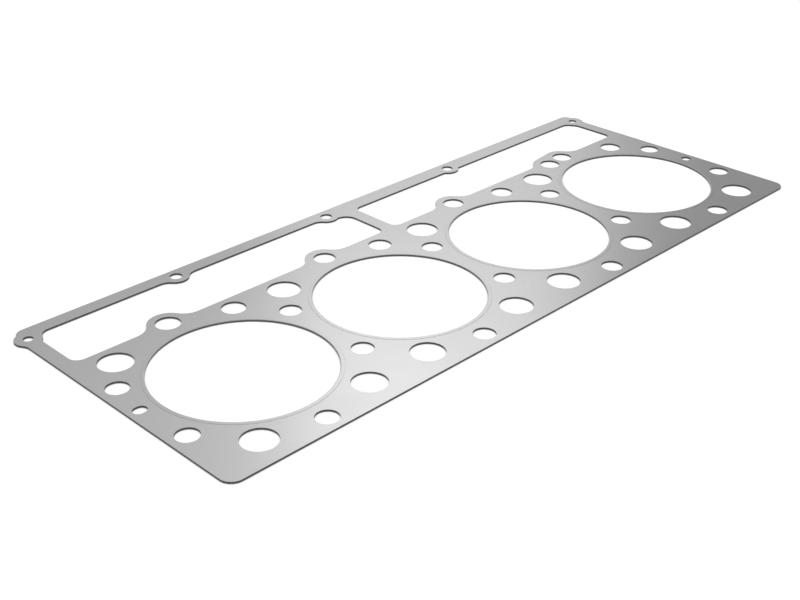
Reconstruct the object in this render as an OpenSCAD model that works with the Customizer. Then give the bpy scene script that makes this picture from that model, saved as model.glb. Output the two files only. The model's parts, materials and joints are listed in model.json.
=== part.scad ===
// Cylinder head gasket for a four cylinder engine with push rods.
// A flat die-cut plate, with a folded ring of thin sheet round each bore.
// X runs along the bores, Y towards the push rod side, Z up.
// The origin is under the middle of the gasket, on the surface that it lies on.

/* [Bores] */
// Inner diameter of a bore ring
bore_d = 122.7; // [110:0.1:138]
// Width of the plate that is left between two bore rings
bridge_w = 11.3; // [10:0.1:18]
// Radial width of a bore ring
ring_w = 2.85; // [2:0.05:3.5]
// Thickness of the sheet that a bore ring is folded from
ring_sheet_t = 0.25; // [0.2:0.01:0.35]
// Height of a bore ring over each face of the plate
ring_proud = 0.12; // [0.05:0.01:0.15]
// Radial clearance between a bore ring and the plate
ring_clear = 0.1; // [0.05:0.01:0.2]
// Outer bend radius of a bore ring's fold
ring_bend_r = 0.4; // [0.36:0.01:0.5]

/* [Plate] */
// Thickness of the plate
plate_t = 1.4; // [1.2:0.05:2.4]
// From an end bore's ring to the end of the plate
end_margin = 18.7; // [17:0.1:26]
// From the bore rings to the lower edge
lower_margin = 27.3; // [25:0.1:36]
// From the bore rings to the outer edge of the push rod rail
upper_margin = 76.95; // [68:0.05:90]
// Radius of the two lower corners
lower_corner_r = 9.2; // [3:0.1:14]

/* [Push rod windows] */
// From the bore rings to the sill under the windows, at both ends
sill_margin = 15.4; // [14:0.1:18]
// How much further out the sill is in the middle
sill_step = 1; // [0.2:0.1:3]
// Width of the rail over the first window
rail_1_w = 11.1; // [9:0.1:14]
// Width of the rail at the inner end of the first window
rail_1_end_w = 17.35; // [16:0.05:22]
// Width of the rail over the second window
rail_2_w = 14.05; // [12:0.05:18]
// Width of the side strips
side_w = 10.9; // [8:0.1:14]
// Width of the bar between the windows
divider_w = 11.25; // [8:0.05:16]
// Corner radius of the windows
window_r = 6.5; // [2:0.1:9]
// Radius of the first window's lower outer corner
window_first_r = 7.5; // [2:0.1:10]
// Radius of the first window's upper inner corner
window_step_r = 9.8; // [5:0.1:12]
// How far the rail's first end stops short of the plate's end
rail_inset = 1.5; // [0.5:0.1:3]
// Corner radius of the rail's first end
rail_first_r = 7.6; // [4:0.1:8]
// Corner radius of the rail's last end
rail_last_r = 5.7; // [4:0.1:8]

/* [Bosses at the windows] */
// Radius of the bosses round the upper stud holes
sill_boss_r = 14.4; // [12:0.1:16]
// Fillet where a boss runs into the sill
sill_fillet_r = 14; // [4:0.5:16]
// Radius of the bosses round the rail's screw holes
rail_boss_r = 9.4; // [8.5:0.1:11]
// Fillet where a rail boss runs into the first window's rail
rail_1_fillet_r = 9.5; // [3:0.5:11]
// Fillet where the second rail boss runs into the step
rail_step_fillet_r = 3; // [1:0.5:4]
// Fillet where a rail boss runs into the second window's rail
rail_2_fillet_r = 2.5; // [1:0.5:5]
// Fillet of a corner boss on the outside
corner_outer_fillet_r = 10; // [3:0.5:14]
// Fillet of a corner boss on the rail's inner edge
corner_rail_fillet_r = 7.4; // [3:0.1:10]
// Fillet of the first corner boss on the side strip
corner_first_fillet_r = 5; // [2:0.5:10]
// Fillet of the last corner boss on the side strip
corner_last_fillet_r = 12; // [4:0.5:14]

/* [Stud holes] */
// Diameter of the cylinder head stud holes
stud_d = 15.85; // [13:0.05:17]
// From the bore row to the stud holes between the bores
stud_mid_y = 35.63; // [33:0.01:38]
// From the lower edge up to the lower stud holes
stud_low_in = 12.6; // [11:0.1:15]
// Diameter of the upper stud holes
stud_up_d = 16.5; // [14:0.1:18]
// From the end of the sill down to the upper stud holes
stud_up_down = 0.88; // [0:0.01:3]
// Diameter of the first upper hole, which also lets oil up
oil_stud_d = 17.8; // [16:0.1:19]
// From the end of the sill up to the first upper hole
oil_stud_up = 0.36; // [0:0.01:2]
// Diameter of the hole beside the last upper stud
extra_d = 16.5; // [14:0.1:18]
// From the last bore's centre to that hole, along the row
extra_before = 20; // [19:0.1:24]
// From the end of the sill down to that hole
extra_down = 3.65; // [2:0.05:5]

/* [Water holes] */
// Diameter of the large holes below the bores
low_water_d = 24.2; // [20:0.1:26]
// From the bore rings down to the middle of the large lower holes
low_water_out = 4.4; // [3.5:0.1:8]
// From a line of studs to the lower hole after it
low_water_after = 26.5; // [24:0.1:30]
// From a line of studs to the lower hole before it
low_water_before = 25.35; // [24:0.05:30]
// Diameter of the large holes above the bores
up_water_d = 24.15; // [20:0.05:26]
// From a line of studs to the large upper hole after it
up_water_after = 16.55; // [14:0.05:18]
// From the end of the sill down to the large upper holes
up_water_down = 17.5; // [16:0.1:19]
// Diameter of the smaller holes above the bores
mid_water_d = 17.6; // [14:0.1:19]
// From a line of studs to the smaller hole before it
mid_water_before = 25.25; // [23:0.05:28]
// From the end of the sill down to the smaller holes
mid_water_down = 13.68; // [12:0.01:15]
// From the last line of studs to the last of them
last_water_before = 20.75; // [19:0.05:23]
// From the end of the sill down to the last of them
last_water_down = 16.6; // [15:0.1:18]

/* [Screw and dowel holes] */
// Diameter of the corner screw holes
corner_screw_d = 7; // [5:0.1:9]
// From the end of the plate in to the corner screw
corner_screw_in = 5.8; // [5:0.1:7]
// From the rail's outer edge down to the corner screws
corner_screw_down = 13.7; // [12.5:0.1:15]
// Diameter of the rail screw holes
rail_screw_d = 9.25; // [7:0.05:11]
// From the rail's outer edge down to the rail screws
rail_screw_down = 9.15; // [8.5:0.05:10]
// From the second line of studs to the first rail screw before it
rail_screw_first_before = 25.1; // [15:0.1:32]
// From the third and fourth lines of studs to the rail screws before them
rail_screw_before = 20; // [18:0.1:24]
// Diameter of the round dowel hole, and width of the dowel slot
dowel_d = 8.15; // [6:0.05:10]
// Length of the dowel slot
dowel_slot_l = 9.75; // [8:0.05:13]
// From an end bore's ring to its dowel
dowel_out = 9.9; // [8.5:0.1:12]
// From the bore row to the dowel slot
dowel_slot_y = 5.6; // [0:0.1:12]

/* [Hidden] */

$fn = 96;
bores = 4;
// Extra length of a cut beyond the face that it goes through
over = 1;
// How far a fillet or a web is off its exact tangent, so that no edge shrinks to nothing
tangent_gap = 0.01;

steel = [0.66, 0.67, 0.68];
ring_steel = [0.76, 0.77, 0.78];

// Radii round a bore
bore_r = bore_d / 2;
ring_r = bore_r + ring_w;
plate_bore_r = bore_r + ring_sheet_t + ring_clear;
seat_r = ring_r + ring_clear;
ring_inner_bend_r = ring_bend_r - ring_sheet_t;

// Heights
plate_z = ring_proud;
ring_h = plate_t + 2 * ring_proud;
seat_depth = ring_sheet_t - ring_proud;

// Places along X, from the middle of the gasket. A line of studs stands before
// each bore and after the last one.
bore_pitch = 2 * ring_r + bridge_w;
function bore_x(i) = (i - (bores - 1) / 2) * bore_pitch;
function stud_x(i) = (i - bores / 2) * bore_pitch;
last_x = bore_x(bores - 1);
plate_x = last_x + ring_r + end_margin;
rail_first_x = rail_inset - plate_x;
corner_boss_x = plate_x - corner_screw_in;
window_side_x = plate_x - side_w;
window_bar_x = divider_w / 2;
dowel_x = last_x + ring_r + dowel_out;

// Places along Y, from the bore row
lower_y = -ring_r - lower_margin;
upper_y = ring_r + upper_margin;
stud_low_y = lower_y + stud_low_in;
low_water_y = -ring_r - low_water_out;
sill_end_y = ring_r + sill_margin;
sill_mid_y = sill_end_y + sill_step;
rail_1_y = upper_y - rail_1_w;
rail_1_end_y = upper_y - rail_1_end_w;
rail_2_y = upper_y - rail_2_w;
rail_screw_y = upper_y - rail_screw_down;
corner_screw_y = upper_y - corner_screw_down;
// The origin is halfway across, which puts the bore row here
row_y = -(lower_y + upper_y) / 2;

// Holes with a boss at a window's edge
oil_stud = [bore_x(0), sill_end_y + oil_stud_up];
extra_hole = [last_x - extra_before, sill_end_y - extra_down];
function upper_stud(i) = [bore_x(i), sill_end_y - stud_up_down];
rail_screw_1 = [stud_x(1) - rail_screw_first_before, rail_screw_y];
rail_screw_2 = [stud_x(2) - rail_screw_before, rail_screw_y];
rail_screw_3 = [stud_x(3) - rail_screw_before, rail_screw_y];

// Outside a corner boss, at the last end: the centre of the fillet that runs
// into the plate's end, and the point where it meets the boss
outer_reach = rail_boss_r + corner_outer_fillet_r;
outer_run = corner_screw_in + corner_outer_fillet_r;
outer_drop = sqrt(outer_reach * outer_reach - outer_run * outer_run);
outer_share = rail_boss_r / outer_reach;
outer_fillet = [corner_boss_x + outer_run, corner_screw_y - outer_drop];
outer_touch = [corner_boss_x + outer_run * outer_share, corner_screw_y - outer_drop * outer_share];

// Takes the corner at p off a flat shape and leaves a radius.
// The signs in way point from the corner into the material.
module corner_cut(p, way, r) {
    difference() {
        polygon([
            [p[0] - way[0] * over, p[1] - way[1] * over],
            [p[0] + way[0] * r, p[1] - way[1] * over],
            [p[0] + way[0] * r, p[1] + way[1] * r],
            [p[0] - way[0] * over, p[1] + way[1] * r]
        ]);
        translate([p[0] + way[0] * r, p[1] + way[1] * r]) circle(r);
    }
}

// A flat rectangle from corner a to corner b
module block(a, b) {
    translate(a) square([b[0] - a[0], b[1] - a[1]]);
}

// The blend between a round boss and a straight edge along y = 0, open above.
// The boss has radius r and its centre at [0, h]. f is the fillet's radius,
// and way is 1 for the blend on the right and -1 for the one on the left.
module blend(r, h, f, way) {
    run = sqrt((r + f) * (r + f) - (f - h) * (f - h));
    touch = r / (r + f);
    base = min(h, 0) - over;
    difference() {
        polygon([
            [0, h],
            [way * run * touch, h + (f - h) * touch],
            [way * run, 0],
            [way * run, base],
            [0, base]
        ]);
        translate([way * run, f - tangent_gap]) circle(f);
    }
}

// The same, at a hole p over a sill or under a rail
module sill_blend(p, r, edge_y, f, way) {
    translate([p[0], edge_y]) blend(r, p[1] - edge_y, f, way);
}

module rail_blend(p, r, edge_y, f, way) {
    translate([p[0], edge_y]) rotate(180) blend(r, edge_y - p[1], f, -way);
}

module disc(p, d) {
    translate(p) circle(d = d);
}

// The outline of the plate, with the lobes round the corner screws
module outline() {
    difference() {
        polygon([
            [-plate_x, lower_y],
            [plate_x, lower_y],
            [plate_x, outer_fillet[1]],
            outer_touch,
            [plate_x, corner_screw_y],
            [plate_x, upper_y],
            [rail_first_x, upper_y],
            [rail_first_x, corner_screw_y],
            [-outer_touch[0], outer_touch[1]],
            [-plate_x, outer_fillet[1]]
        ]);
        for (side = [-1, 1]) {
            corner_cut([side * plate_x, lower_y], [-side, 1], lower_corner_r);
            translate([side * (outer_fillet[0] - tangent_gap), outer_fillet[1]])
                circle(corner_outer_fillet_r);
        }
        corner_cut([rail_first_x, upper_y], [1, -1], rail_first_r);
        corner_cut([plate_x, upper_y], [-1, -1], rail_last_r);
    }
    for (side = [-1, 1]) {
        disc([side * corner_boss_x, corner_screw_y], 2 * rail_boss_r);
    }
}

// A corner boss as it stands in a window. side is -1 at the first end and 1 at the last.
module window_corner(side, rail_y, side_fillet_r) {
    p = [side * corner_boss_x, corner_screw_y];
    disc(p, 2 * rail_boss_r);
    rail_blend(p, rail_boss_r, rail_y, corner_rail_fillet_r, -side);
    translate([side * window_side_x, corner_screw_y])
        rotate(side * 90)
        blend(rail_boss_r, window_side_x - corner_boss_x, side_fillet_r, -side);
}

// The first window, over bores one and two
module window_1() {
    difference() {
        block([-window_side_x, sill_end_y], [-window_bar_x, rail_1_y]);
        // the sill's step is under the second upper boss
        block([bore_x(1), sill_end_y - over], [0, sill_mid_y]);
        corner_cut([-window_side_x, sill_end_y], [1, 1], window_first_r);
        corner_cut([-window_bar_x, sill_mid_y], [-1, 1], window_r);

        disc(oil_stud, 2 * sill_boss_r);
        disc(upper_stud(1), 2 * sill_boss_r);
        for (way = [-1, 1]) {
            sill_blend(oil_stud, sill_boss_r, sill_end_y, sill_fillet_r, way);
            rail_blend(rail_screw_1, rail_boss_r, rail_1_y, rail_1_fillet_r, way);
        }
        sill_blend(upper_stud(1), sill_boss_r, sill_end_y, sill_fillet_r, -1);
        sill_blend(upper_stud(1), sill_boss_r, sill_mid_y, sill_fillet_r, 1);

        disc(rail_screw_1, 2 * rail_boss_r);
        disc(rail_screw_2, 2 * rail_boss_r);
        rail_blend(rail_screw_2, rail_boss_r, rail_1_y, rail_1_fillet_r, -1);
        rail_blend(rail_screw_2, rail_boss_r, rail_1_end_y, rail_step_fillet_r, 1);
        block([rail_screw_2[0], rail_1_end_y], [0, rail_1_y + over]);
        corner_cut([-window_bar_x, rail_1_end_y], [-1, -1], window_step_r);

        window_corner(-1, rail_1_y, corner_first_fillet_r);
    }
}

// The bridge that joins the last upper stud's boss to the one beside it
module twin_boss() {
    rise = upper_stud(3)[1] - extra_hole[1];
    run = upper_stud(3)[0] - extra_hole[0];
    disc(extra_hole, 2 * sill_boss_r);
    disc(upper_stud(3), 2 * sill_boss_r);
    translate(extra_hole)
        rotate(atan2(rise, run))
        square([norm([run, rise]), sill_boss_r - tangent_gap]);
}

// The second window, over bores three and four
module window_2() {
    difference() {
        block([window_bar_x, sill_end_y], [window_side_x, rail_2_y]);
        // the sill's step is under the last upper boss
        block([0, sill_end_y - over], [last_x, sill_mid_y]);
        corner_cut([window_bar_x, sill_mid_y], [1, 1], window_r);
        corner_cut([window_side_x, sill_end_y], [-1, 1], window_r);
        corner_cut([window_bar_x, rail_2_y], [1, -1], window_r);

        disc(upper_stud(2), 2 * sill_boss_r);
        twin_boss();
        disc(rail_screw_3, 2 * rail_boss_r);
        for (way = [-1, 1]) {
            sill_blend(upper_stud(2), sill_boss_r, sill_mid_y, sill_fillet_r, way);
            rail_blend(rail_screw_3, rail_boss_r, rail_2_y, rail_2_fillet_r, way);
        }
        sill_blend(extra_hole, sill_boss_r, sill_mid_y, sill_fillet_r, -1);
        sill_blend(upper_stud(3), sill_boss_r, sill_end_y, sill_fillet_r, 1);

        window_corner(1, rail_2_y, corner_last_fillet_r);
    }
}

module stud_holes() {
    for (i = [0:bores]) {
        for (side = [-1, 1]) {
            disc([stud_x(i), side * stud_mid_y], stud_d);
        }
    }
    for (i = [0:bores - 1]) {
        disc([bore_x(i), stud_low_y], stud_d);
    }
    disc(oil_stud, oil_stud_d);
    for (i = [1:bores - 1]) {
        disc(upper_stud(i), stud_up_d);
    }
    disc(extra_hole, extra_d);
}

module water_holes() {
    for (i = [0:bores - 1]) {
        disc([stud_x(i) + low_water_after, low_water_y], low_water_d);
        disc([stud_x(i + 1) - low_water_before, low_water_y], low_water_d);
        disc([stud_x(i) + up_water_after, sill_end_y - up_water_down], up_water_d);
    }
    for (i = [1:bores - 1]) {
        disc([stud_x(i) - mid_water_before, sill_end_y - mid_water_down], mid_water_d);
    }
    disc([stud_x(bores) - last_water_before, sill_end_y - last_water_down], mid_water_d);
}

module screw_and_dowel_holes() {
    for (side = [-1, 1]) {
        disc([side * corner_boss_x, corner_screw_y], corner_screw_d);
    }
    for (p = [rail_screw_1, rail_screw_2, rail_screw_3]) {
        disc(p, rail_screw_d);
    }
    disc([dowel_x, 0], dowel_d);
    slot_half = (dowel_slot_l - dowel_d) / 2;
    translate([-dowel_x, dowel_slot_y]) {
        square([2 * slot_half, dowel_d], center = true);
        for (side = [-1, 1]) {
            disc([side * slot_half, 0], dowel_d);
        }
    }
}

module gasket_plate() {
    color(steel)
    translate([0, row_y, plate_z])
    difference() {
        linear_extrude(plate_t) {
            difference() {
                outline();
                window_1();
                window_2();
                stud_holes();
                water_holes();
                screw_and_dowel_holes();
            }
        }
        for (i = [0:bores - 1]) {
            translate([bore_x(i), 0, 0]) {
                translate([0, 0, -over]) cylinder(r = plate_bore_r, h = plate_t + 2 * over);
                // the seats that the ring's two legs lie in
                translate([0, 0, -over]) cylinder(r = seat_r, h = seat_depth + over);
                translate([0, 0, plate_t - seat_depth]) cylinder(r = seat_r, h = seat_depth + over);
            }
        }
    }
}

// Half of a ring's section: a channel that is open outwards, with its fold at the bore
module ring_section() {
    difference() {
        block([bore_r, 0], [ring_r, ring_h]);
        corner_cut([bore_r, 0], [1, 1], ring_bend_r);
        corner_cut([bore_r, ring_h], [1, -1], ring_bend_r);
        difference() {
            block([bore_r + ring_sheet_t, ring_sheet_t], [ring_r + over, ring_h - ring_sheet_t]);
            corner_cut([bore_r + ring_sheet_t, ring_sheet_t], [1, 1], ring_inner_bend_r);
            corner_cut([bore_r + ring_sheet_t, ring_h - ring_sheet_t], [1, -1], ring_inner_bend_r);
        }
    }
}

module bore_ring(i) {
    color(ring_steel)
    translate([bore_x(i), row_y, 0])
    rotate_extrude($fn = 180) ring_section();
}

gasket_plate();
bore_ring(0);  // bore_ring_1
bore_ring(1);  // bore_ring_2
bore_ring(2);  // bore_ring_3
bore_ring(3);  // bore_ring_4
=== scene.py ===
import json
import math

import bpy
from mathutils import Matrix, Vector


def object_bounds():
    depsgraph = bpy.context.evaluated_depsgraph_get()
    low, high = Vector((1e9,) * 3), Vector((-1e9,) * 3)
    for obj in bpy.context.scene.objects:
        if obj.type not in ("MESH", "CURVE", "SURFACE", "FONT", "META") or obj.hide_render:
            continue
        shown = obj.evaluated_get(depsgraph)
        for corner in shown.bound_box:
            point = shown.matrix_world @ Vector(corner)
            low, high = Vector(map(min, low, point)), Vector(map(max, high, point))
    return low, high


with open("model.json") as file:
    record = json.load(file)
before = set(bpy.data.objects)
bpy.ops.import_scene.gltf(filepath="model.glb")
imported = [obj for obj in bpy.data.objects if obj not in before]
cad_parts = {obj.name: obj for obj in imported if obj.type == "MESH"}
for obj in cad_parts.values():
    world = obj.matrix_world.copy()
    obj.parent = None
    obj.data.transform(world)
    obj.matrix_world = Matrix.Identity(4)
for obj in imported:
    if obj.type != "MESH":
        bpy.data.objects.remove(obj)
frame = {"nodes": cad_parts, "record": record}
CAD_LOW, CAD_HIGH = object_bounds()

# The looks of a cylinder head gasket: a satin sheet steel plate, die-cut, with a
# folded ring of thin sheet round each bore. It lies on a white floor under soft light.

MM = 0.001
MICRON = 0.000001

# The gasket's layout: the bores from their mounts in the record, the plate's faces from the whole
# box, on which the rings stand proud, and the seats from the rings' reach and their room
MOUNTS = {mount["name"]: mount for mount in frame["record"]["mounts"]}
FIRST_BORE, SECOND_BORE = MOUNTS["bore_1"], MOUNTS["bore_2"]
BORES = 4
BORE_PITCH = SECOND_BORE["pos_m"][0] - FIRST_BORE["pos_m"][0]
BORE_ROW_Y = FIRST_BORE["pos_m"][1]
ROW_END = BORES / 2 * BORE_PITCH
RING_PROUD = 0.12 * MM
PLATE_LOW = CAD_LOW[2] + RING_PROUD
PLATE_TOP = CAD_HIGH[2] - RING_PROUD
RING_BAND = 2.85 * MM
RING_REACH = FIRST_BORE["dims"]["r_mm"] * MM + RING_BAND
SEAT_ROOM = 0.1 * MM
SEAT_TO = RING_REACH + SEAT_ROOM

# The photograph's camera: where it stands, its heading from +Y towards +X, how far it looks down
# and its roll, then its lens, from a focal length and a picture's width in pixels, and how near
# and how far it sees, in metres
EYE = Vector((-619.15, -572.9, 416.7)) * MM
HEADING = math.radians(45.064)
DIP = math.radians(28.4485)
ROLL = math.radians(0.051)
SENSOR_WIDTH = 36.0
FOCAL_PIXELS = 1259.49
PHOTO_PIXELS = 800
LENS = SENSOR_WIDTH * FOCAL_PIXELS / PHOTO_PIXELS
SEES_FROM = 0.01
SEES_TO = 200.0

# The floor is white by its own light, and only faintly takes the gasket's shadow
FLOOR_SIZE = 60.0
FLOOR_DROP = 0.02 * MM
FLOOR_COLOUR = 0.5
FLOOR_OWN_LIGHT = 0.7

# Close to the metal the floor is shaded: how near, how much of its own light is left there for the
# camera and for the metal, and how open to the lamps it is where the shade is full and where it ends
CONTACT_REACH = 0.8 * MM
CONTACT_SHADE = 0.05
CONTACT_IN_METAL = 0.35
CONTACT_OPEN = (0.3, 0.9)
CONTACT_SAMPLES = 4

# The studio's walls: white at the horizon, grey from a little above it, in degrees of elevation
WHITE_UP_TO = 12.0
GREY_FROM = 17.0
WALL_GREY = 0.44

# The ceiling, which only the camera doesn't see: its middle's azimuth from +X and elevation, its
# grey, and where it starts and is full, as the cosine of the angle from its middle
CEILING_MIDDLE = (225, 50)
CEILING_GREY = 0.8
CEILING_SPAN = (0.3, 0.7)

# The lamps stand behind the gasket: name, azimuth from +X, elevation, width, height, watts
LAMP_DISTANCE = 3.0
LAMPS_MIDDLE = (44, 36)
LAMPS = (
    ("upper_box", 43, 42, 0.8, 1.2, 2.69),
    ("lower_box", 43, 30, 1.0, 1.2, 2.74),
    ("low_lamp", 36, 22, 0.8, None, 0.31),
    ("left_fill", 62, 45, 2.0, None, 6.06),
)

# Greys of the steel, and how dull each surface is; painted shade darkens the greys of the cut walls,
# the fold's inside and its bends, and painted light lightens the legs' cut ends
SHEET_GREY = 0.44
RING_GREY = 0.43
SHEARED_LAND_SHADE = 0.1
TORN_EDGE_SHADE = 0.085
FOLD_INSIDE_SHADE = 0.095
# painted light: the legs' cut ends are far lighter than the ring, against the shade in the gap at their seat
LEG_END_PAINTED_LIGHT = 0.8
SHEET_DULL = 0.28
RING_DULL = 0.28
GRAIN_DULL = 0.01
TORN_DULL = 0.5
LAND_DULL = 0.38
FOLD_DULL = 0.4

# Noise: how rough each of them is, and the span that holds most of its values
NOISE_ROUGHNESS = 0.55
NOISE_SPAN = (0.3, 0.7)

# Patterns in the plate: spots to the metre along X, Y and Z, and the finer layers on them
STREAKS = ((40, 3200, 40), 2.0)
BANDS = ((4, 130, 4), 2.0)
SMUDGES = ((13, 17, 13), 3.0)
TEARS = ((1100, 1100, 90), 3.0)

# Patterns in the rings: X and Y run round a circle of this radius, as the place runs round its
# bore, and Z is how far it is from the bore's centre
PATTERN_CIRCLE = 0.1
RING_GRAIN = ((18, 18, 4200), 3.0)
RIPPLES = ((420, 420, 60), 1.0)

# The hairline scratches: a turn in degrees and a pattern for each direction, then the span of the
# pattern that shows as a line, and how much brighter and duller a line is
HAIRLINES = (
    (24, ((14, 2600, 14), 1.0)),
    (-51, ((18, 3100, 18), 1.0)),
)
HAIR_SPAN = (0.71, 0.76)
HAIR_BRIGHT = 0.03
HAIR_DULL = 0.03

# The plate's faces: how upright the normal is from a wall to a face, the streaks' share of the
# grain, the greys that the grain runs through, and a smudge's span of noise and change of dullness
FACE_SPAN = (0.25, 0.6)
STREAK_SHARE = 0.6
SHEET_TONES = (0.988, 1.012)
SMUDGE_SPAN = (0.35, 0.7)
SMUDGE_DULL = (-0.008, 0.015)

# The plate's cut walls: where the sheared land starts up the wall, how ragged that line is, the
# greys along the wall, and how far past a seat and before the row's end the walls' painted shade takes over
LAND_SPAN = (0.58, 0.68)
LAND_RAGGED = 0.08
WALL_TONES = (0.8, 1.2)
SEAT_FADE = 0.1 * MM
ROW_FADE = 1.0 * MM

# The rings: how upright the normal is where the upper bend comes out of the fold's painted shade, where
# the lower leg lies flat and comes out of it too, and where the bend takes a painted shade, by how much,
# the greys of the grain and of the ripples, and where the bore's wall gives way to the legs' cut ends
UPPER_OUT_OF_SHADE = (0.0, 0.3)
LOWER_OUT_OF_SHADE = (-0.9, -0.98)
BEND_SPAN = (0.97, 0.7)
BEND_PAINTED_SHADE = 0.14
RING_TONES = (0.985, 1.015)
RIPPLE_TONES = (0.85, 1.15)
LEG_END_SPAN = (RING_REACH - 1.7 * MM, RING_REACH - 0.7 * MM)

# Edges wear round and bright: how wide, how much brighter, and how far the rounded normal turns
# from the flat one, as a cosine, where the wear starts and is full
PLATE_WORN_WIDTH = 0.06 * MM
PLATE_WORN_BRIGHT = 0.06
RING_WORN_WIDTH = 0.04 * MM
RING_WORN_BRIGHT = 0.05
WORN_SPAN = (0.98, 0.8)
WORN_SAMPLES = 6

# The relief's height, and how much of it the tears and the ripples have
SHEET_RELIEF = 1.2 * MICRON
RING_RELIEF = 0.6 * MICRON
TEAR_RELIEF = 10.0
RIPPLE_RELIEF = 2.0


def grey(level):
    return (level, level, level, 1)


def from_middle(azimuth, elevation):
    """The way from the gasket's middle to an azimuth from +X and an elevation."""
    a, e = math.radians(azimuth), math.radians(elevation)
    return Vector((math.cos(a) * math.cos(e), math.sin(a) * math.cos(e), math.sin(e)))


class Nodes:
    """The node tree of a material or of the world, built up node by node."""

    def __init__(self, owner):
        owner.use_nodes = True
        self.tree = owner.node_tree

    def add(self, kind, inputs=None, out=0, **settings):
        """A node of this kind, with its inputs joined or set, and one of its outputs."""
        made = self.tree.nodes.new(kind)
        for key, value in settings.items():
            setattr(made, key, value)
        for key, value in (inputs or {}).items():
            self.feed(made.inputs[key], value)
        return made.outputs[out]

    def feed(self, socket, value):
        """Joins another node's output to the socket, or sets it to a constant."""
        if isinstance(value, bpy.types.NodeSocket):
            self.tree.links.new(value, socket)
        else:
            socket.default_value = value

    def end(self, kind, surface):
        """The tree's output node, which takes the surface."""
        self.feed(self.tree.nodes.new(kind).inputs["Surface"], surface)

    def calc(self, operation, a, b=0.0):
        """One step of arithmetic, on one number or two."""
        return self.add("ShaderNodeMath", {0: a, 1: b}, operation=operation)

    def plus(self, a, b):
        return self.calc("ADD", a, b)

    def times(self, a, b):
        return self.calc("MULTIPLY", a, b)

    def ramp(self, value, span, to=(0.0, 1.0), soft=False):
        """The value as it goes from one end of its span to the other, spread over another span."""
        return self.add("ShaderNodeMapRange", {
            "Value": value, "From Min": span[0], "From Max": span[1], "To Min": to[0], "To Max": to[1],
        }, interpolation_type="SMOOTHSTEP" if soft else "LINEAR")

    def mix(self, share, a, b):
        """The number a where share is 0 and b where it is 1."""
        return self.add("ShaderNodeMix", {"Factor": share, "A": a, "B": b}, data_type="FLOAT")


class Finish(Nodes):
    """A finish of the steel, whose patterns lie on Object coordinates."""

    def __init__(self, name):
        self.material = bpy.data.materials.new(name)
        super().__init__(self.material)
        self.shader = self.tree.nodes["Principled BSDF"]
        self.shader.inputs["Metallic"].default_value = 1.0
        self.place = self.add("ShaderNodeTexCoord", out="Object")

    def cloud(self, pattern, turn=0.0, place=None):
        """Soft noise from 0 to 1 in one of the patterns, turned by some degrees round Z."""
        per_metre, layers = pattern
        at = self.add("ShaderNodeMapping", {
            "Vector": self.place if place is None else place,
            "Rotation": (0, 0, math.radians(turn)), "Scale": per_metre,
        })
        return self.add("ShaderNodeTexNoise", {
            "Vector": at, "Scale": 1.0, "Detail": layers, "Roughness": NOISE_ROUGHNESS,
        })

    def upright(self):
        """How far the surface faces up: 1 on top, 0 on an upright wall and -1 underneath."""
        facing = self.add("ShaderNodeNewGeometry", out="Normal")
        return self.add("ShaderNodeSeparateXYZ", {0: facing}, out="Z")

    def worn_edge(self, width):
        """1 on the lines where two faces meet, and a bevelled normal that rounds them."""
        rounded = self.add("ShaderNodeBevel", {"Radius": width}, samples=WORN_SAMPLES)
        flat = self.add("ShaderNodeNewGeometry", out="Normal")
        along = self.add("ShaderNodeVectorMath", {0: rounded, 1: flat}, out="Value", operation="DOT_PRODUCT")
        return self.ramp(along, WORN_SPAN), rounded

    def axis(self, name):
        """How far along X, Y or Z the point lies."""
        return self.add("ShaderNodeSeparateXYZ", {0: self.place}, out=name)

    def from_bore(self):
        """Where a point lies from the nearest bore's centre: along X, along Y and straight across."""
        x = self.add("ShaderNodeMath", {0: self.axis("X"), 1: BORE_PITCH, 2: 0.0}, operation="WRAP")
        x = self.calc("SUBTRACT", x, BORE_PITCH / 2)
        y = self.calc("SUBTRACT", self.axis("Y"), BORE_ROW_Y)
        return x, y, self.calc("SQRT", self.plus(self.times(x, x), self.times(y, y)))

    def surface(self, level, dull, relief, height, rounded):
        """Gives the steel its grey, how dull it is, and a relief of some height on its rounded edges."""
        colour = self.add("ShaderNodeCombineColor", {0: level, 1: level, 2: level})
        bump = self.add("ShaderNodeBump", {
            "Strength": 1.0, "Distance": height, "Height": relief, "Normal": rounded,
        }, out="Normal")
        self.feed(self.shader.inputs["Base Color"], colour)
        self.feed(self.shader.inputs["Roughness"], dull)
        self.feed(self.shader.inputs["Normal"], bump)


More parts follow.
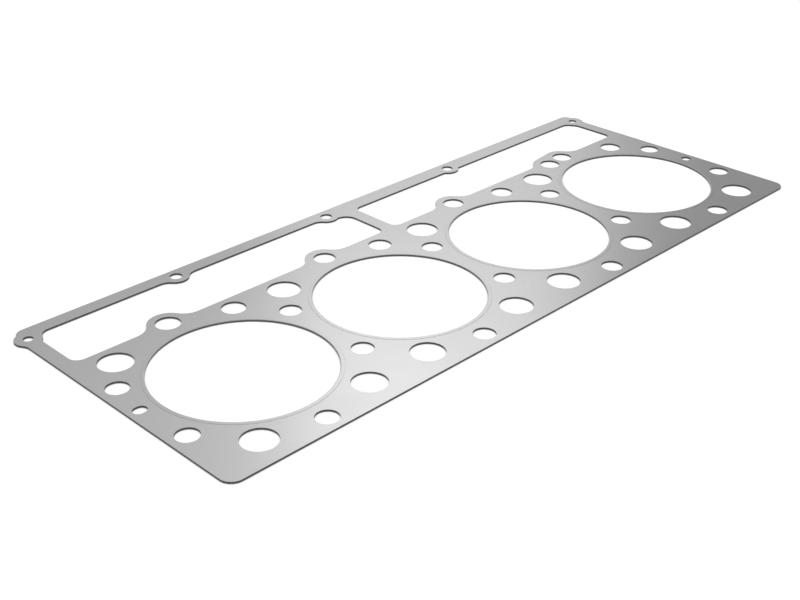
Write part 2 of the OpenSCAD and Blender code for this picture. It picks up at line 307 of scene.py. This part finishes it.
def sheet_finish():
    """Cold rolled sheet: grain along the row of bores, hairlines, and sheared cut edges darkened by painted
    shade.
    """
    steel = Finish("plate_steel")
    face = steel.ramp(steel.calc("ABSOLUTE", steel.upright()), FACE_SPAN, soft=True)
    worn, rounded = steel.worn_edge(PLATE_WORN_WIDTH)

    # the rolls leave long fine streaks along X, and broad faint bands between them
    streaks = steel.cloud(STREAKS)
    bands = steel.cloud(BANDS)
    grain = steel.plus(steel.times(streaks, STREAK_SHARE), steel.times(bands, 1 - STREAK_SHARE))
    smudges = steel.cloud(SMUDGES)
    # a few hairline scratches from handling, in two directions
    hairs = 0.0
    for turn, pattern in HAIRLINES:
        line = steel.ramp(steel.cloud(pattern, turn), HAIR_SPAN)
        hairs = steel.calc("MAXIMUM", line, hairs)

    # the punch shears the top of a cut wall smooth, and the rest tears
    tears = steel.cloud(TEARS)
    up_the_wall = steel.ramp(steel.axis("Z"), (PLATE_LOW, PLATE_TOP))
    ragged = steel.plus(up_the_wall, steel.ramp(tears, NOISE_SPAN, (-LAND_RAGGED, LAND_RAGGED)))
    land = steel.ramp(ragged, LAND_SPAN, soft=True)
    # painted shade makes the cut wall dark; the sheared land being a little lighter than the torn part is
    # the steel's own
    wall = steel.times(steel.mix(land, TORN_EDGE_SHADE, SHEARED_LAND_SHADE), steel.ramp(tears, NOISE_SPAN, WALL_TONES))
    # the seat round each bore is pressed in, and its low step is as bright as the sheet's faces, without the
    # walls' painted shade
    _, _, out_from = steel.from_bore()
    past_seat = steel.ramp(out_from, (SEAT_TO + SEAT_FADE, SEAT_TO + 2 * SEAT_FADE))
    past_row = steel.ramp(steel.calc("ABSOLUTE", steel.axis("X")), (ROW_END - ROW_FADE, ROW_END))
    wall = steel.mix(steel.calc("MAXIMUM", past_seat, past_row), SHEET_GREY, wall)

    tone = steel.plus(steel.ramp(grain, NOISE_SPAN, SHEET_TONES), steel.times(hairs, HAIR_BRIGHT))
    tone = steel.plus(tone, steel.times(worn, PLATE_WORN_BRIGHT))
    level = steel.mix(face, wall, steel.times(tone, SHEET_GREY))

    dull = steel.plus(steel.ramp(grain, NOISE_SPAN, (SHEET_DULL - GRAIN_DULL, SHEET_DULL + GRAIN_DULL)),
                      steel.ramp(smudges, SMUDGE_SPAN, SMUDGE_DULL))
    dull = steel.plus(dull, steel.times(hairs, HAIR_DULL))
    dull = steel.mix(face, steel.mix(land, TORN_DULL, LAND_DULL), dull)

    relief = steel.mix(face, steel.times(tears, TEAR_RELIEF), steel.calc("SUBTRACT", streaks, hairs))
    steel.surface(level, dull, relief, SHEET_RELIEF, rounded)
    return steel.material


def ring_finish():
    """Thin bright sheet, drawn and folded over the bore's edge, with its grain round the bore."""
    steel = Finish("ring_steel")
    worn, rounded = steel.worn_edge(RING_WORN_WIDTH)
    # the upper bend takes the face's grey, and the lower one takes the fold's painted shade and is dull till
    # it lies flat
    up = steel.upright()
    upper = steel.ramp(up, UPPER_OUT_OF_SHADE, soft=True)
    lower = steel.ramp(up, LOWER_OUT_OF_SHADE, soft=True)
    face = steel.calc("MAXIMUM", upper, lower)
    bend = steel.ramp(up, BEND_SPAN, soft=True)

    # a place on any ring, measured from its own bore's centre: how far round and how far out
    across, along, out_from = steel.from_bore()
    outwards = steel.add("ShaderNodeCombineXYZ", {0: across, 1: along})
    spoke = steel.add("ShaderNodeVectorMath", {0: outwards}, operation="NORMALIZE")
    circle = steel.add("ShaderNodeVectorMath", {0: spoke, 1: (PATTERN_CIRCLE,) * 3}, operation="MULTIPLY")
    reach = steel.add("ShaderNodeCombineXYZ", {0: 0.0, 1: 0.0, 2: out_from})
    round_place = steel.add("ShaderNodeVectorMath", {0: circle, 1: reach}, operation="ADD")
    rings = steel.cloud(RING_GRAIN, place=round_place)
    # the fold gathers the sheet into faint ripples, close round the bore
    ripples = steel.cloud(RIPPLES, place=round_place)

    tone = steel.plus(steel.ramp(rings, NOISE_SPAN, RING_TONES), steel.times(worn, RING_WORN_BRIGHT))
    # a painted shade darkens the bend and dims its reflection
    tone = steel.calc("SUBTRACT", tone, steel.times(bend, BEND_PAINTED_SHADE))
    # painted shade darkens the bore's wall, and painted light lightens the leg's cut end outside, against
    # the shade in the gap at its seat
    wall = steel.ramp(out_from, LEG_END_SPAN, (FOLD_INSIDE_SHADE, LEG_END_PAINTED_LIGHT))
    wall = steel.times(steel.ramp(ripples, NOISE_SPAN, RIPPLE_TONES), wall)
    level = steel.mix(face, wall, steel.times(tone, RING_GREY))

    dull = steel.ramp(rings, NOISE_SPAN, (RING_DULL - GRAIN_DULL, RING_DULL + GRAIN_DULL))
    dull = steel.mix(face, FOLD_DULL, dull)

    relief = steel.plus(rings, steel.times(ripples, RIPPLE_RELIEF))
    steel.surface(level, dull, relief, RING_RELIEF, rounded)
    return steel.material


def give(node, material):
    """Gives a CAD node's material slots one finish."""
    piece = frame["nodes"][node]
    for spot in piece.material_slots:
        spot.material = material


def make_camera():
    data = bpy.data.cameras.new("camera")
    data.sensor_width = SENSOR_WIDTH
    data.lens = LENS
    data.clip_start = SEES_FROM
    data.clip_end = SEES_TO
    camera = bpy.data.objects.new("camera", data)
    camera.location = EYE
    level = math.cos(DIP)
    ahead = Vector((math.sin(HEADING) * level, math.cos(HEADING) * level, -math.sin(DIP)))
    rolled = Matrix.Rotation(ROLL, 3, "Z").to_quaternion()
    camera.rotation_mode = "QUATERNION"
    camera.rotation_quaternion = ahead.to_track_quat("-Z", "Y") @ rolled
    bpy.context.scene.collection.objects.link(camera)
    bpy.context.scene.camera = camera


def make_walls():
    """The studio round the gasket, and a bright ceiling for all but the camera."""
    world = bpy.data.worlds.new("studio")
    bpy.context.scene.world = world
    studio = Nodes(world)
    studio.tree.nodes.clear()
    towards = studio.add("ShaderNodeTexCoord", out="Generated")
    wall = studio.add("ShaderNodeValToRGB", {0: studio.add("ShaderNodeSeparateXYZ", {0: towards}, out="Z")})
    white_stop, grey_stop = wall.node.color_ramp.elements
    white_stop.position = math.sin(math.radians(WHITE_UP_TO))
    white_stop.color = grey(1.0)
    grey_stop.position = math.sin(math.radians(GREY_FROM))
    grey_stop.color = grey(WALL_GREY)
    # the ceiling comes down behind the photograph's camera, so the plate's face doesn't show it there
    to_ceiling = studio.add("ShaderNodeVectorMath", {
        0: towards, 1: from_middle(*CEILING_MIDDLE),
    }, out="Value", operation="DOT_PRODUCT")
    ceiling = studio.ramp(to_ceiling, CEILING_SPAN, (0.0, CEILING_GREY), soft=True)
    ceiling = studio.mix(studio.add("ShaderNodeLightPath", out="Is Camera Ray"), ceiling, 0.0)
    light = studio.add("ShaderNodeBackground", {
        "Color": grey(1.0), "Strength": studio.calc("MAXIMUM", wall, ceiling),
    })
    studio.end("ShaderNodeOutputWorld", light)


def floor_paint():
    """White by its own light, shaded close to the metal, and clear from below."""
    material = bpy.data.materials.new("white_floor")
    paint = Nodes(material)
    paint.tree.nodes.clear()
    # the camera and the metal see the floor's own light as well, which makes it white
    rays = paint.add("ShaderNodeLightPath").node.outputs
    seen = paint.calc("MAXIMUM", rays["Is Camera Ray"], rays["Is Glossy Ray"])
    # close to the metal, where it stands before the lamps, the floor is shaded, less so in the metal
    lamps_x, lamps_y, lamps_z = from_middle(*LAMPS_MIDDLE)
    to_lamps = paint.add("ShaderNodeCombineXYZ", {0: lamps_x, 1: lamps_y, 2: lamps_z})
    open_to_lamps = paint.add("ShaderNodeAmbientOcclusion", {
        "Distance": CONTACT_REACH, "Normal": to_lamps,
    }, out="AO", samples=CONTACT_SAMPLES)
    in_metal = paint.ramp(open_to_lamps, CONTACT_OPEN, (CONTACT_IN_METAL, 1.0))
    in_camera = paint.ramp(open_to_lamps, CONTACT_OPEN, (CONTACT_SHADE, 1.0))
    shade = paint.mix(rays["Is Camera Ray"], in_metal, in_camera)
    own_light = paint.times(paint.times(seen, shade), FLOOR_OWN_LIGHT)
    glow = paint.add("ShaderNodeEmission", {"Strength": own_light})
    matt = paint.add("ShaderNodeBsdfDiffuse", {"Color": grey(FLOOR_COLOUR)})
    lit = paint.add("ShaderNodeAddShader", {0: matt, 1: glow})
    # from below there is no floor, so that the underside can be seen
    below = paint.add("ShaderNodeNewGeometry", out="Backfacing")
    clear = paint.add("ShaderNodeBsdfTransparent")
    paint.end("ShaderNodeOutputMaterial", paint.add("ShaderNodeMixShader", {0: below, 1: lit, 2: clear}))
    return material


def make_floor():
    half = FLOOR_SIZE / 2
    corners = ((-half, -half), (half, -half), (half, half), (-half, half))
    mesh = bpy.data.meshes.new("floor")
    mesh.from_pydata([(x, y, -FLOOR_DROP) for x, y in corners], [], [(0, 1, 2, 3)])
    mesh.materials.append(floor_paint())
    floor = bpy.data.objects.new("floor", mesh)
    bpy.context.scene.collection.objects.link(floor)


def make_lamp(name, azimuth, elevation, width, height, watts):
    """A soft lamp that looks at the gasket's middle, round where it has no height of its own."""
    data = bpy.data.lights.new(name, "AREA")
    data.shape = "DISK" if height is None else "RECTANGLE"
    data.size = width
    if height is not None:
        data.size_y = height
    data.energy = watts
    lamp = bpy.data.objects.new(name, data)
    lamp.location = from_middle(azimuth, elevation) * LAMP_DISTANCE
    lamp.rotation_mode = "QUATERNION"
    lamp.rotation_quaternion = (-lamp.location).to_track_quat("-Z", "Y")
    lamp.visible_camera = False
    bpy.context.scene.collection.objects.link(lamp)


bpy.context.scene.view_settings.view_transform = "Standard"
make_camera()
make_walls()
make_floor()
for lamp in LAMPS:
    make_lamp(*lamp)

give("gasket_plate", sheet_finish())
ring_steel = ring_finish()
for number in range(1, BORES + 1):
    give("bore_ring_%d" % number, ring_steel)
